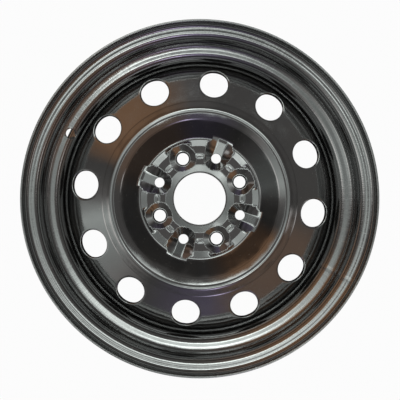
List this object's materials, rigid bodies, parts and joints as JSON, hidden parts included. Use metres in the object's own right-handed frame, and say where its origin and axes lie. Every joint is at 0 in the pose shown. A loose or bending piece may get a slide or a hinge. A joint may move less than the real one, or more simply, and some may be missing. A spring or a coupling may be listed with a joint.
{
  "type": "steel wheel rim",
  "caption": "Black pressed-steel road wheel: rolled drop-centre rim with a welded, vented disc, conical bolt seats and a centre bore.",
  "frame": {"origin": "on the wheel's axis, in the plane of the inboard lip that the wheel lies on", "axes": "+Z along the wheel's axis towards the outboard face, +X and +Y across the face"},
  "size_m": [0.4148, 0.4146, 0.1784],
  "materials": {
    "rim_paint": "semi-gloss black paint",
    "disc_paint": "semi-gloss black paint",
    "weld_paint": "semi-gloss black paint over weld ripples"
  },
  "bodies": {
    "root": {"rim": "rim_paint", "disc": "disc_paint", "weld_beads": "weld_paint"}
  },
  "joints": []
}
